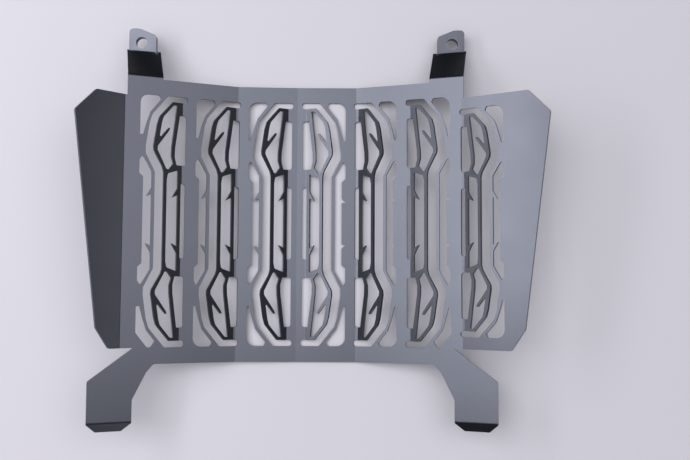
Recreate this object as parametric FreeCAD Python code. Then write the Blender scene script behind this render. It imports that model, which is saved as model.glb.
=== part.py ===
"""Motorcycle radiator guard: one laser-cut and folded sheet, lying with its hollow side up.

Frame: millimetres. X runs across the guard, Y up its height and Z up from the surface it lies on.
The origin is at the bottom centre of its box, and the right middle panel lies flat on Z = 0.
Flat places are (s, y): s is measured across the sheet from the middle fold, along its upper face,
and y from mid height. A louvre's own places are (u, y), with u measured from its rib.
"""
import FreeCAD, Part
import math
import os
from FreeCAD import Vector

# Sheet and folds
SHEET = 2.0
FOLD_RADIUS = 2.0
PANEL_HEIGHT = 220.4
MIDDLE_FOLD = 3.5
PANEL_FOLD = 19.0
LEFT_WING_FOLD = 23.5
RIGHT_WING_FOLD = 13.5
PANEL_FOLD_AT = 47.8
LEFT_WING_AT = 137.2
RIGHT_WING_AT = 134.0

# Wings
WING_TOP = 96.2
WING_BOTTOM = -97.8
WING_TOP_CORNER = (16.9, 17.5)
WING_BOTTOM_CORNER = (11.0, 16.0)
WING_TAPER = 21.0
LEFT_WING_REACH = 41.2
RIGHT_WING_REACH = 70.8
WING_CORNER_RADIUS = 3.0

# Louvres, one to a column, counted from the left. Each is a flap cut on three sides and lifted.
FIRST_RIB = 8.6
MIDDLE_PITCH = 42.2
OUTER_PITCH = 43.2
LOUVRE_LIFT = (12.5, 11.5, 28.0, 26.0, 17.0, 15.0, 12.0)
LOUVRE_BORDER = (35.6, 35.2, 34.8, 34.8, 34.8, 34.8, 34.8)
HINGE = 2.9
HINGE_RADIUS = 1.0
WING_LOUVRE_SCALE = 0.90
WING_LOUVRE_DROP = 0.6

# Slots and lands of a hinge: a land joins the flap to its rib where no slot runs between them
SLOT_MIDDLE = 29.0
SLOT_NEAR = 43.3
SLOT_FAR = 82.7
SLOT_CORNER = 2.0
FLAP_TOP = 92.8
GAP_TOP = 97.8
GAP_SIDE = -0.9
GAP_END_RADIUS = 2.2

# Struts of the panel beside a flap, and the border's notches and barbs
STRUT_SIDE = 26.1
BORDER_STEP = 3.0
BORDER_CORNER = 6.6
BORDER_NOTCH_DEPTH = 3.5
BORDER_NOTCH = (16.7, 20.2)
STRUT_BARB_REACH = 4.1
STRUT_BARB = (18.0, 19.8, 25.4)

# Struts of a flap
FLAP_EDGE = 3.6
FLAP_WINDOW_NEAR = 6.0
FLAP_WINDOW_FAR = 15.2
FLAP_BARB_REACH = 4.4
FLAP_BARB = (17.8, 20.0, 25.4)

# Top brackets
BRACKET_INNER = 108.1
BRACKET_OUTER = 135.3
LEFT_BRACKET_START = 111.0
RIGHT_BRACKET_START = 112.7
BRACKET_DROP_ANGLE = 30.0
BRACKET_RISER = 25.9
BRACKET_RADIUS = 1.5
BRACKET_END = 26.5
BRACKET_END_SLANT = 4.8
TAB_THICKNESS = 5.5
TAB_INSET = 1.45
TAB_NOTCH = 3.65
TAB_LENGTH = 18.1
TAB_SHORT_SIDE = 12.6
TAB_SLOPE_AT = 8.4
TAB_CORNER_RADIUS = 3.0
TAB_SLOPE_RADIUS = 12.0
TAB_HOLE = 9.2
TAB_HOLE_UP = 6.65
TAB_HOLE_IN = 9.85

# Bottom legs
LEG_OUTER = 160.2
LEG_INNER = 127.2
LEG_START = 15.6
LEG_SHOULDER = (10.2, 6.3)
LEG_NECK = 26.3
LEG_CORNER = -122.0
LEG_END = -152.0
LIP_ANGLE = 32.0
LIP_LENGTH = 7.2
LIP_CHAMFER = 7.0

CUT_DEPTH = 6.0


def outline(points):
    """A closed wire in the XY plane through (x, y) or (x, y, corner radius) points."""
    corners = []
    count = len(points)
    for index in range(count):
        here = Vector(points[index][0], points[index][1], 0)
        radius = points[index][2] if len(points[index]) > 2 else 0.0
        if radius == 0.0:
            corners.append((here, None, here))
            continue
        before = points[index - 1]
        after = points[(index + 1) % count]
        back = (Vector(before[0], before[1], 0) - here).normalize()
        ahead = (Vector(after[0], after[1], 0) - here).normalize()
        half = back.getAngle(ahead) / 2
        middle = (back + ahead).normalize()
        run = radius / math.tan(half)
        reach = radius / math.sin(half)
        corners.append((here + back * run, here + middle * (reach - radius), here + ahead * run))
    edges = []
    for index in range(count):
        start, middle, end = corners[index]
        if middle is not None:
            edges.append(Part.Arc(start, middle, end).toShape())
        following = corners[(index + 1) % count][0]
        if (following - end).Length > 1e-6:
            edges.append(Part.LineSegment(end, following).toShape())
    return Part.Wire(edges)


def plate(points, low=-SHEET, high=0.0):
    """A flat plate with the outline given, between two levels."""
    face = Part.Face(outline(points))
    face.translate(Vector(0, 0, low))
    return face.extrude(Vector(0, 0, high - low))


def setback(radius, angle):
    """Length that a fold takes from each side of its corner, on its inner face."""
    return radius * math.tan(math.radians(angle) / 2)


def bend_across(at, low, high, angle, radius):
    """A bend about a line along Y at x = at. What lies beyond it rises by the angle."""
    start = at - setback(radius, angle)
    section = Part.makePolygon([Vector(start, low, -SHEET), Vector(start, high, -SHEET),
                                Vector(start, high, 0), Vector(start, low, 0), Vector(start, low, -SHEET)])
    return Part.Face(section).revolve(Vector(start, 0, radius), Vector(0, -1, 0), angle)


def strip_end(left, right, lean=0.0, depth=SHEET):
    """The outline of a strip's end. The strip runs along Y from y = 0, and its end leans by an angle."""
    slant = math.tan(math.radians(lean))
    low_left = Vector(left, left * slant, -depth)
    low_right = Vector(right, right * slant, -depth)
    up = Vector(0, 0, depth)
    return Part.makePolygon([low_left, low_right, low_right + up, low_left + up, low_left])


def turned(shape, centre, angle):
    """The shape turned about a line along X through the centre."""
    copy = shape.copy()
    copy.rotate(centre, Vector(1, 0, 0), angle)
    return copy


def mirrored(shape):
    """The shape with left and right swapped."""
    return shape.mirror(Vector(0, 0, 0), Vector(1, 0, 0))


class Panel:
    """A flat part of the folded sheet: its slope and where it starts, on the upper face."""

    def __init__(self, flat_start, corner, slope):
        self.flat_start = flat_start
        self.corner = corner
        self.slope = slope

    def place(self, shape):
        """Moves a shape made flat, with X as s, into this panel."""
        placed = shape.copy()
        placed.translate(Vector(-self.flat_start, 0, 0))
        placed.rotate(Vector(0, 0, 0), Vector(0, 1, 0), -self.slope)
        placed.translate(self.corner)
        return placed

    def point(self, s):
        """The point of the upper face at s, at mid height."""
        run = s - self.flat_start
        angle = math.radians(self.slope)
        return self.corner + Vector(run * math.cos(angle), 0, run * math.sin(angle))


def panels():
    """The six panels, from the right middle one, which lies flat, outwards."""
    made = {}
    middle = Vector(0, 0, SHEET)
    made["right_middle"] = Panel(0.0, middle, 0.0)
    made["left_middle"] = Panel(0.0, middle, -MIDDLE_FOLD)
    made["right_outer"] = Panel(PANEL_FOLD_AT, made["right_middle"].point(PANEL_FOLD_AT), PANEL_FOLD)
    made["left_outer"] = Panel(-PANEL_FOLD_AT, made["left_middle"].point(-PANEL_FOLD_AT),
                               -MIDDLE_FOLD - PANEL_FOLD)
    made["right_wing"] = Panel(RIGHT_WING_AT, made["right_outer"].point(RIGHT_WING_AT),
                               PANEL_FOLD + RIGHT_WING_FOLD)
    made["left_wing"] = Panel(-LEFT_WING_AT, made["left_outer"].point(-LEFT_WING_AT),
                              -MIDDLE_FOLD - PANEL_FOLD - LEFT_WING_FOLD)
    return made


def middle_panel():
    """The right middle panel, between the middle fold and the panel fold."""
    half = PANEL_HEIGHT / 2
    inner = setback(FOLD_RADIUS, MIDDLE_FOLD)
    outer = PANEL_FOLD_AT - setback(FOLD_RADIUS, PANEL_FOLD)
    return plate([(inner, -half), (outer, -half), (outer, half), (inner, half)])


def outer_panel(wing_at, wing_fold, bracket_start):
    """The right outer panel with its leg and the neck of its top bracket."""
    half = PANEL_HEIGHT / 2
    inner = PANEL_FOLD_AT + setback(FOLD_RADIUS, PANEL_FOLD)
    outer = wing_at - setback(FOLD_RADIUS, wing_fold)
    return plate([
        (inner, -half), (LEG_INNER - LEG_START, -half, 3.0),
        (LEG_INNER - LEG_SHOULDER[0], -half - LEG_SHOULDER[1], 3.0),
        (LEG_INNER, -half - LEG_NECK, 4.0), (LEG_INNER, LEG_END), (LEG_OUTER, LEG_END),
        (LEG_OUTER, LEG_CORNER, 2.0), (LEG_INNER, WING_BOTTOM), (outer, WING_BOTTOM), (outer, WING_TOP),
        (BRACKET_OUTER, WING_TOP), (BRACKET_OUTER, bracket_start), (BRACKET_INNER, bracket_start),
        (BRACKET_INNER, half), (inner, half)])


def wing(wing_at, wing_fold, reach):
    """A right-hand wing, its outer edge leaning in towards the bottom."""
    inner = wing_at + setback(FOLD_RADIUS, wing_fold)
    top = wing_at + reach
    bottom = top - WING_TAPER
    return plate([
        (inner, WING_BOTTOM), (bottom - WING_BOTTOM_CORNER[0], WING_BOTTOM, WING_CORNER_RADIUS),
        (bottom, WING_BOTTOM + WING_BOTTOM_CORNER[1], WING_CORNER_RADIUS),
        (top, WING_TOP - WING_TOP_CORNER[1], WING_CORNER_RADIUS),
        (top - WING_TOP_CORNER[0], WING_TOP, WING_CORNER_RADIUS), (inner, WING_TOP)])


def tab():
    """A right-hand bracket's drilled tab, laid level. Its origin is the middle of the bracket's end."""
    outer = BRACKET_END / 2 - TAB_INSET
    inner = TAB_NOTCH - BRACKET_END / 2
    slant = math.tan(math.radians(BRACKET_END_SLANT))
    solid = plate([
        (inner, inner * slant), (outer, outer * slant), (outer, TAB_LENGTH, TAB_CORNER_RADIUS),
        (outer - TAB_SLOPE_AT, TAB_LENGTH, TAB_SLOPE_RADIUS), (inner, TAB_SHORT_SIDE, TAB_CORNER_RADIUS)],
        -TAB_THICKNESS)
    hole = Part.makeCylinder(TAB_HOLE / 2, 3 * TAB_THICKNESS,
                             Vector(outer - TAB_HOLE_IN, TAB_HOLE_UP, -2 * TAB_THICKNESS), Vector(0, 0, 1))
    return solid.cut(hole)


def bracket(start, slope):
    """A right-hand top bracket beyond its neck, on a panel of the slope given.

    Its riser drops behind the panel and twists on the way, so that the tab at its end is level.
    """
    bend_centre = Vector(0, 0, -SHEET - BRACKET_RADIUS)
    bend_start = strip_end(BRACKET_INNER, BRACKET_OUTER)
    bend = Part.Face(bend_start).revolve(bend_centre, Vector(-1, 0, 0), BRACKET_DROP_ANGLE)
    riser_start = turned(bend_start, bend_centre, -BRACKET_DROP_ANGLE)
    riser_end = strip_end(-BRACKET_END / 2, BRACKET_END / 2, BRACKET_END_SLANT,
                          SHEET / math.cos(math.radians(BRACKET_DROP_ANGLE)))
    middle = Part.Vertex((BRACKET_INNER + BRACKET_OUTER) / 2, BRACKET_RISER, 0)
    end_place = turned(middle, bend_centre, -BRACKET_DROP_ANGLE).Point
    level_tab = tab()
    for shape in (riser_end, level_tab):
        shape.rotate(Vector(0, 0, 0), Vector(0, 1, 0), slope)
        shape.translate(end_place)
    riser = Part.makeLoft([riser_start, riser_end], True, True)
    made = bend.fuse([riser, level_tab])
    made.translate(Vector(0, start, 0))
    return made


def lip():
    """The lip that closes a right-hand leg, folded back behind the panel."""
    bend_centre = Vector(0, 0, -SHEET - BRACKET_RADIUS)
    bend = Part.Face(strip_end(LEG_INNER, LEG_OUTER)).revolve(bend_centre, Vector(1, 0, 0), LIP_ANGLE)
    flat = plate([(LEG_INNER, 0), (LEG_INNER + LIP_CHAMFER, -LIP_LENGTH),
                  (LEG_OUTER - LIP_CHAMFER, -LIP_LENGTH), (LEG_OUTER, 0)])
    made = bend.fuse(turned(flat, bend_centre, LIP_ANGLE))
    made.translate(Vector(0, LEG_END, 0))
    return made


def mirror_down(points):
    """Points of an upper half outline, repeated upside down in reverse order."""
    return [(point[0], -point[1]) + tuple(point[2:]) for point in reversed(points)]


def flap_opening(edge):
    """The outline cut from the panel round a flap. The edge is where the four lands of its hinge end."""
    half = [
        (0.0, SLOT_MIDDLE, SLOT_CORNER), (edge, SLOT_MIDDLE), (edge, SLOT_NEAR),
        (0.0, SLOT_NEAR, SLOT_CORNER), (0.0, SLOT_FAR, SLOT_CORNER), (edge, SLOT_FAR), (edge, FLAP_TOP),
        (GAP_SIDE, FLAP_TOP, GAP_END_RADIUS), (GAP_SIDE, GAP_TOP, GAP_END_RADIUS), (14.0, GAP_TOP, 2.0),
        (26.3, 82.6, 3.0), (28.4, 75.8), (31.1, 57.5), (31.0, 52.0), (23.7, 37.3, 4.0)]
    return half + mirror_down(half)


def corner_window(border):
    """The window between the outer strut and the top corner of a column."""
    return [(21.0, GAP_TOP, 2.0), (border, GAP_TOP, BORDER_CORNER), (border, 66.4), (33.2, 66.2),
            (30.6, 76.2), (27.9, 84.4), (20.0, 94.6)]


def clipped_window(border):
    """The same window at the bottom of a column beside a leg, its corner cut off by the leg's run."""
    outer = border + 0.4
    return [(24.6, GAP_TOP + 0.2, 2.2), (27.4, GAP_TOP - 0.6, 2.0), (outer, 86.2, 4.0), (outer, 66.4),
            (33.2, 66.2), (30.6, 76.2), (27.9, 84.4), (21.4, 92.9)]


def side_window(border, notched):
    """The long window between the outer strut and the border, with two notches or two barbs."""
    step = border - BORDER_STEP
    corner = [(step, 33.4), (border, 36.2), (border, 46.4), (33.6, 49.4), (32.4, 49.0),
              (STRUT_SIDE, 38.0, 3.0)]
    if notched:
        low, high = BORDER_NOTCH
        right = [(step, low), (step + BORDER_NOTCH_DEPTH, low), (step, high)]
        upper = right + corner
    else:
        tip, low, high = STRUT_BARB
        left = [(STRUT_SIDE, high), (STRUT_SIDE + STRUT_BARB_REACH, tip), (STRUT_SIDE, low)]
        upper = corner + left
    return upper + mirror_down(upper)


def flap_outline(edge):
    """The outline of a flap laid flat, from the end of its hinge bend outwards."""
    upper = [
        (FLAP_EDGE, SLOT_MIDDLE), (edge, SLOT_MIDDLE), (edge, SLOT_NEAR), (7.4, SLOT_NEAR), (9.0, 49.6),
        (8.8, 56.5), (5.2, SLOT_FAR), (edge, SLOT_FAR), (edge, FLAP_TOP), (11.2, FLAP_TOP),
        (21.8, 80.6, 3.0), (23.6, 74.6), (26.3, 57.0), (26.0, 53.6), (18.9, 41.4, 2.0), (17.7, 37.5, 4.0)]
    return upper + mirror_down(upper)


def flap_end_window():
    """The window at the upper end of a flap, with the barb that springs from its outer strut."""
    return [
        (7.4, 90.4), (11.5, 56.5), (11.6, 50.0), (9.9, 44.6), (13.6, 39.6), (15.6, 39.8), (23.2, 54.2),
        (23.0, 57.2), (14.0, 69.8), (13.2, 72.0), (14.6, 72.0), (20.6, 64.6), (21.6, 65.6), (19.9, 76.4),
        (18.6, 80.6), (10.2, 90.4)]


def flap_middle_window():
    """The window at the middle of a flap, with two barbs on its hinge-side strut."""
    tip, low, high = FLAP_BARB
    upper = [
        (FLAP_WINDOW_NEAR, low), (FLAP_WINDOW_NEAR + FLAP_BARB_REACH, tip), (FLAP_WINDOW_NEAR, high),
        (FLAP_WINDOW_NEAR, 39.3), (14.3, 36.4, 2.0), (FLAP_WINDOW_FAR, 31.5)]
    return upper + mirror_down(upper)


def stretched(points, scale, drop):
    """Outline points with their heights scaled and lowered."""
    return [(point[0], point[1] * scale - drop) + tuple(point[2:]) for point in points]


def column(lift, border, notched, clipped, scale, drop):
    """One louvre column: the cutters of its openings and the lifted flap, with u = 0 at its rib."""
    back = setback(HINGE_RADIUS, lift)
    lower_corner = clipped_window(border) if clipped else corner_window(border)
    openings = [flap_opening(HINGE - back), corner_window(border), mirror_down(lower_corner),
                side_window(border, notched)]
    cutters = [plate(stretched(points, scale, drop), -CUT_DEPTH, CUT_DEPTH) for points in openings]

    flap = plate(stretched(flap_outline(HINGE + back), scale, drop))
    for points in (flap_end_window(), mirror_down(flap_end_window()), flap_middle_window()):
        flap = flap.cut(plate(stretched(points, scale, drop), -CUT_DEPTH, CUT_DEPTH))
    flap.translate(Vector(-HINGE - back, 0, 0))
    flap.rotate(Vector(0, 0, 0), Vector(0, 1, 0), -lift)
    angle = math.radians(lift)
    flap.translate(Vector(HINGE + back * math.cos(angle), 0, back * math.sin(angle)))
    lands = [(FLAP_TOP, SLOT_FAR), (SLOT_NEAR, SLOT_MIDDLE), (-SLOT_MIDDLE, -SLOT_NEAR),
             (-SLOT_FAR, -FLAP_TOP)]
    for high, low in lands:
        flap = flap.fuse(bend_across(HINGE, low * scale - drop, high * scale - drop, lift, HINGE_RADIUS))
    return cutters, flap


def columns():
    """Every column as (panel name, side, rib place, notched, clipped, scale, drop)."""
    first = FIRST_RIB / 2
    second = first + MIDDLE_PITCH
    third = second + OUTER_PITCH
    fourth = third + OUTER_PITCH
    return [
        ("left_outer", -1, third, False, True, 1.0, 0.0),
        ("left_outer", -1, second, False, False, 1.0, 0.0),
        ("left_middle", -1, first, False, False, 1.0, 0.0),
        ("right_middle", 1, first, True, False, 1.0, 0.0),
        ("right_outer", 1, second, True, False, 1.0, 0.0),
        ("right_outer", 1, third, True, True, 1.0, 0.0),
        ("right_wing", 1, fourth, False, False, WING_LOUVRE_SCALE, WING_LOUVRE_DROP)]


def folded_sheet(at):
    """The panels, wings, brackets and legs joined by their bends, before the louvres are cut."""
    half = PANEL_HEIGHT / 2
    panel_bend = bend_across(PANEL_FOLD_AT, -half, half, PANEL_FOLD, FOLD_RADIUS)
    pieces = [
        at["right_middle"].place(middle_panel()),
        at["right_middle"].place(panel_bend),
        at["right_middle"].place(mirrored(bend_across(0.0, -half, half, MIDDLE_FOLD, FOLD_RADIUS))),
        at["left_middle"].place(mirrored(middle_panel())),
        at["left_middle"].place(mirrored(panel_bend)),
        at["right_wing"].place(wing(RIGHT_WING_AT, RIGHT_WING_FOLD, RIGHT_WING_REACH)),
        at["left_wing"].place(mirrored(wing(LEFT_WING_AT, LEFT_WING_FOLD, LEFT_WING_REACH)))]
    for side, wing_at, wing_fold, start in (("right", RIGHT_WING_AT, RIGHT_WING_FOLD, RIGHT_BRACKET_START),
                                            ("left", LEFT_WING_AT, LEFT_WING_FOLD, LEFT_BRACKET_START)):
        panel = at[side + "_outer"]
        wing_bend = bend_across(wing_at, WING_BOTTOM, WING_TOP, wing_fold, FOLD_RADIUS)
        end_bracket = bracket(start, abs(panel.slope))
        for piece in (outer_panel(wing_at, wing_fold, start), end_bracket, lip(), wing_bend):
            pieces.append(panel.place(piece if side == "right" else mirrored(piece)))
    return pieces[0].fuse(pieces[1:]).removeSplitter()


def guard():
    """The whole folded and louvred sheet as one solid."""
    at = panels()
    flaps = []
    cutters = []
    for (name, side, rib, *shape_settings), lift, border in zip(columns(), LOUVRE_LIFT, LOUVRE_BORDER):
        cuts, flap = column(lift, border, *shape_settings)
        for shape, kept in [(cut, cutters) for cut in cuts] + [(flap, flaps)]:
            flat = shape if side > 0 else mirrored(shape)
            flat.translate(Vector(side * rib, 0, 0))
            kept.append(at[name].place(flat))
    whole = folded_sheet(at).cut(cutters).fuse(flaps).removeSplitter().Solids[0]
    box = whole.optimalBoundingBox(True, False)
    whole.translate(Vector(-box.Center.x, -box.Center.y, -box.ZMin))
    return whole


os.makedirs("parts", exist_ok=True)
guard().exportStep("parts/guard.step")
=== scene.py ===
"""The radiator guard as it lies on a pale table: one folded, powder-coated sheet among soft lights."""
import math

import bmesh
import bpy
import numpy as np
from mathutils import Matrix, Vector


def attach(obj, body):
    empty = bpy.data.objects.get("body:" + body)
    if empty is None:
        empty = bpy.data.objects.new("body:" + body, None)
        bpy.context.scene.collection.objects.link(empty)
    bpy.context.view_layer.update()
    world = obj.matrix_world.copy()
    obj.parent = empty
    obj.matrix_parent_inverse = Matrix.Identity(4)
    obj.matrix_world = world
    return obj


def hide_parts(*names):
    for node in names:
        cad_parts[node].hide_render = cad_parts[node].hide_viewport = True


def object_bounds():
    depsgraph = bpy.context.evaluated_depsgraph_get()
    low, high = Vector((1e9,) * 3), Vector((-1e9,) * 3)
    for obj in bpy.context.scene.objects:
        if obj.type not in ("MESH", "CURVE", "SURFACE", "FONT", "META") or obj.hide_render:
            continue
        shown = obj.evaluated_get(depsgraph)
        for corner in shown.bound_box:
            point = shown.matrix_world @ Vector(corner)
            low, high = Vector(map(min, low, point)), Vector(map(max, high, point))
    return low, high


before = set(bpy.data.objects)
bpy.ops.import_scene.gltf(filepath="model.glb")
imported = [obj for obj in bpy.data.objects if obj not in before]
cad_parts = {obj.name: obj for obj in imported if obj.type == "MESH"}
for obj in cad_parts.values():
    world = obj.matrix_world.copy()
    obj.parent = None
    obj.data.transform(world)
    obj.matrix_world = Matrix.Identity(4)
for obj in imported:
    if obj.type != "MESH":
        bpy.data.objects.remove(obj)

MM = 0.001
start_low, start_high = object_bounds()

# Camera: it stands over the guard, in millimetres from the middle fold at mid height, and looks straight
# down but for three small turns in degrees. Its near and far limits are in metres.
CAMERA_OVER = (40.42, -54.71)
CAMERA_HEIGHT = 690.67
CAMERA_PITCH = 4.12
CAMERA_YAW = 0.13
CAMERA_ROLL = 0.26
CAMERA_NEAR = 0.01
CAMERA_FAR = 20.0
LENS_MM = 44.91
SENSOR_MM = 36.0

# Where the camera's place is measured from, in millimetres from the left and bottom of the guard's box
MIDDLE_FOLD_FROM_LEFT = 160.25
MID_HEIGHT_FROM_BOTTOM = 159.96

# Mesh: points closer than this, in metres, are joined, and triangles that turn less than the angle
# become one face
SAME_POINT = 0.000002
SAME_FACE_DEG = 0.4

# Cut edges: those sharper than the angle are rounded, by this much in millimetres. The weight keeps the
# shading of large faces flat.
EDGE_ROUND = 0.22
EDGE_STEPS = 2
SHARP_EDGE_DEG = 36.0
FLAT_FACE_WEIGHT = 80

# Powder coat: a noise pattern's scale is in features per metre, and a bump's height in metres
COAT_DARK = (0.0020, 0.0022, 0.0026, 1.0)
COAT_LIGHT = (0.0030, 0.0032, 0.0038, 1.0)
COAT_MOTTLE = {"scale": 260.0, "detail": 3.0}
COAT_CLOUD = {"scale": 45.0, "detail": 2.0}
COAT_SMOOTHEST = 0.28
COAT_ROUGHEST = 0.33
COAT_PEEL = {"scale": 1400.0, "detail": 2.0, "strength": 0.10, "height": 0.00006}
COAT_GRAIN = {"scale": 4200.0, "detail": 1.0, "strength": 0.12, "height": 0.00003}
COAT_SPECULAR = 1.0
COAT_SPECULAR_TINT = (0.855, 0.90, 1.0, 1.0)

# Table: a plain matt disc, with its radius in metres
TABLE_COLOUR = (0.335, 0.328, 0.328, 1.0)
TABLE_ROUGHNESS = 0.75
TABLE_SPECULAR = 0.2
TABLE_RADIUS = 1.25
TABLE_SIDES = 96

# Soft lights round the guard. Each leans from overhead to the right (across) and to the guard's top (up)
# in degrees. Distance, width and length are in metres, and the level is the light's own brightness.
SOFTBOXES = {
    "key": dict(across=-47.0, up=11.2, distance=0.90, width=0.158, length=0.72, level=12.0),
    "overhead_left": dict(across=-22.3, up=9.8, distance=4.0, width=1.94, length=2.80, level=6.7),
    "overhead_right": dict(across=17.6, up=10.0, distance=4.0, width=3.96, length=2.70, level=3.25),
    "front": dict(across=-10.0, up=-30.0, distance=1.6, width=2.6, length=0.75, level=0.6),
    "far_left": dict(across=-84.0, up=3.0, distance=1.6, width=0.30, length=1.2, level=6.6),
    "far_right": dict(across=78.0, up=3.0, distance=1.6, width=0.34, length=1.2, level=2.0),
    "low_front": dict(across=45.0, up=-70.0, distance=1.6, width=0.50, length=0.50, level=1.3),
}
LIGHT_TINT = (0.90, 0.90, 1.0)
BACKDROP_LEVEL = 0.62


class Nodes:
    """A small helper that adds and joins the nodes of one material."""

    def __init__(self, name):
        self.material = bpy.data.materials.new(name)
        self.material.use_nodes = True
        self.tree = self.material.node_tree
        self.shader = self.tree.nodes["Principled BSDF"]

    def add(self, kind, **inputs):
        node = self.tree.nodes.new(kind)
        for name, value in inputs.items():
            node.inputs[name.replace("_", " ")].default_value = value
        return node

    def join(self, source, target):
        self.tree.links.new(source, target)


def noise(nodes, coordinates, scale, detail):
    """A noise texture on the piece's own coordinates."""
    texture = nodes.add("ShaderNodeTexNoise", Scale=scale, Detail=detail)
    nodes.join(coordinates.outputs["Object"], texture.inputs["Vector"])
    return texture


def bump(nodes, coordinates, scale, detail, strength, height):
    """A fine relief that follows a noise texture."""
    pattern = noise(nodes, coordinates, scale, detail)
    relief = nodes.add("ShaderNodeBump", Strength=strength, Distance=height)
    nodes.join(pattern.outputs["Fac"], relief.inputs["Height"])
    return relief


def powder_coat():
    """Black satin powder coat: fine orange peel, faint mottling of colour and gloss."""
    nodes = Nodes("powder_coat")
    shader = nodes.shader
    coordinates = nodes.add("ShaderNodeTexCoord")

    mottle = noise(nodes, coordinates, **COAT_MOTTLE)
    mix = nodes.add("ShaderNodeMix")
    mix.data_type = "RGBA"
    mix.inputs["A"].default_value = COAT_DARK
    mix.inputs["B"].default_value = COAT_LIGHT
    nodes.join(mottle.outputs["Fac"], mix.inputs["Factor"])
    nodes.join(mix.outputs["Result"], shader.inputs["Base Color"])

    cloud = noise(nodes, coordinates, **COAT_CLOUD)
    gloss = nodes.add("ShaderNodeMapRange", To_Min=COAT_SMOOTHEST, To_Max=COAT_ROUGHEST)
    nodes.join(cloud.outputs["Fac"], gloss.inputs["Value"])
    nodes.join(gloss.outputs["Result"], shader.inputs["Roughness"])

    peel = bump(nodes, coordinates, **COAT_PEEL)
    grain = bump(nodes, coordinates, **COAT_GRAIN)
    nodes.join(peel.outputs["Normal"], grain.inputs["Normal"])
    nodes.join(grain.outputs["Normal"], shader.inputs["Normal"])
    shader.inputs["Specular IOR Level"].default_value = COAT_SPECULAR
    shader.inputs["Specular Tint"].default_value = COAT_SPECULAR_TINT
    return nodes.material


def table_top():
    """A plain pale matt table."""
    nodes = Nodes("table_top")
    nodes.shader.inputs["Base Color"].default_value = TABLE_COLOUR
    nodes.shader.inputs["Roughness"].default_value = TABLE_ROUGHNESS
    nodes.shader.inputs["Specular IOR Level"].default_value = TABLE_SPECULAR
    return nodes.material


def put(name, data):
    """Puts a new object with the data given into the scene."""
    thing = bpy.data.objects.new(name, data)
    bpy.context.scene.collection.objects.link(thing)
    return thing


def coated_sheet():
    """The guard itself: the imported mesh, its loose triangles joined and every cut edge softly rounded."""
    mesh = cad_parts["guard"].data.copy()
    mesh.name = "folded_sheet"
    work = bmesh.new()
    work.from_mesh(mesh)
    bmesh.ops.remove_doubles(work, verts=work.verts, dist=SAME_POINT)
    bmesh.ops.dissolve_limit(work, angle_limit=math.radians(SAME_FACE_DEG), verts=work.verts,
                             edges=work.edges)
    work.to_mesh(mesh)
    work.free()
    mesh.materials.clear()
    mesh.materials.append(powder_coat())
    mesh.polygons.foreach_set("use_smooth", [True] * len(mesh.polygons))
    sheet = put("folded_sheet", mesh)

    edges = sheet.modifiers.new("rounded_edges", "BEVEL")
    edges.limit_method = "ANGLE"
    edges.angle_limit = math.radians(SHARP_EDGE_DEG)
    edges.width = EDGE_ROUND * MM
    edges.segments = EDGE_STEPS
    normals = sheet.modifiers.new("flat_faces", "WEIGHTED_NORMAL")
    normals.mode = "FACE_AREA"
    normals.weight = FLAT_FACE_WEIGHT
    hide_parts("guard")
    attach(sheet, "root")


def floor():
    """The flat round table that the guard lies on.

    A point of its rim is the radius times the cosine and the sine of its share of the full turn.
    """
    turn = np.arange(TABLE_SIDES) * (2 * np.pi / TABLE_SIDES)
    rim = TABLE_RADIUS * np.column_stack((np.cos(turn), np.sin(turn), np.zeros(TABLE_SIDES)))
    mesh = bpy.data.meshes.new("table")
    mesh.from_pydata(rim.tolist(), [], [list(range(TABLE_SIDES))])
    mesh.materials.append(table_top())
    put("table", mesh)


def softbox(name, across, up, distance, width, length, level):
    """A soft rectangular light that faces the guard, with its length along the guard's height."""
    across = math.radians(across)
    up = math.radians(up)
    away = Vector((math.sin(across) * math.cos(up), math.sin(up), math.cos(across) * math.cos(up)))
    along = (Vector((0, 1, 0)) - away * away.y).normalized()
    data = bpy.data.lights.new(name, "AREA")
    data.shape = "RECTANGLE"
    data.size = width
    data.size_y = length
    data.energy = level * math.pi * width * length
    data.color = LIGHT_TINT
    light = put(name, data)
    facing = Matrix((along.cross(away), along, away)).transposed().to_4x4()
    light.matrix_world = Matrix.Translation(away * distance) @ facing
    light.visible_camera = False


def studio():
    """The soft lights, and a plain pale backdrop that evens out the table but isn't mirrored in the coat."""
    for name, settings in SOFTBOXES.items():
        softbox(name, **settings)
    world = bpy.data.worlds.new("studio")
    bpy.context.scene.world = world
    world.use_nodes = True
    backdrop = world.node_tree.nodes["Background"]
    backdrop.inputs["Color"].default_value = (*LIGHT_TINT, 1.0)
    backdrop.inputs["Strength"].default_value = BACKDROP_LEVEL
    world.cycles_visibility.glossy = False
    bpy.context.scene.view_settings.view_transform = "Standard"


def camera():
    """The camera looks almost straight down, from over the guard's lower right."""
    data = bpy.data.cameras.new("camera")
    data.sensor_width = SENSOR_MM
    data.lens = LENS_MM
    data.clip_start = CAMERA_NEAR
    data.clip_end = CAMERA_FAR
    fold = start_low.x + MIDDLE_FOLD_FROM_LEFT * MM
    middle = start_low.y + MID_HEIGHT_FROM_BOTTOM * MM
    place = Vector((fold + CAMERA_OVER[0] * MM, middle + CAMERA_OVER[1] * MM, CAMERA_HEIGHT * MM))
    turn = (Matrix.Rotation(math.radians(CAMERA_PITCH), 4, "X")
            @ Matrix.Rotation(math.radians(CAMERA_YAW), 4, "Y")
            @ Matrix.Rotation(math.radians(CAMERA_ROLL), 4, "Z"))
    view = put("camera", data)
    view.matrix_world = Matrix.Translation(place) @ turn
    bpy.context.scene.camera = view


camera()
studio()
floor()
coated_sheet()
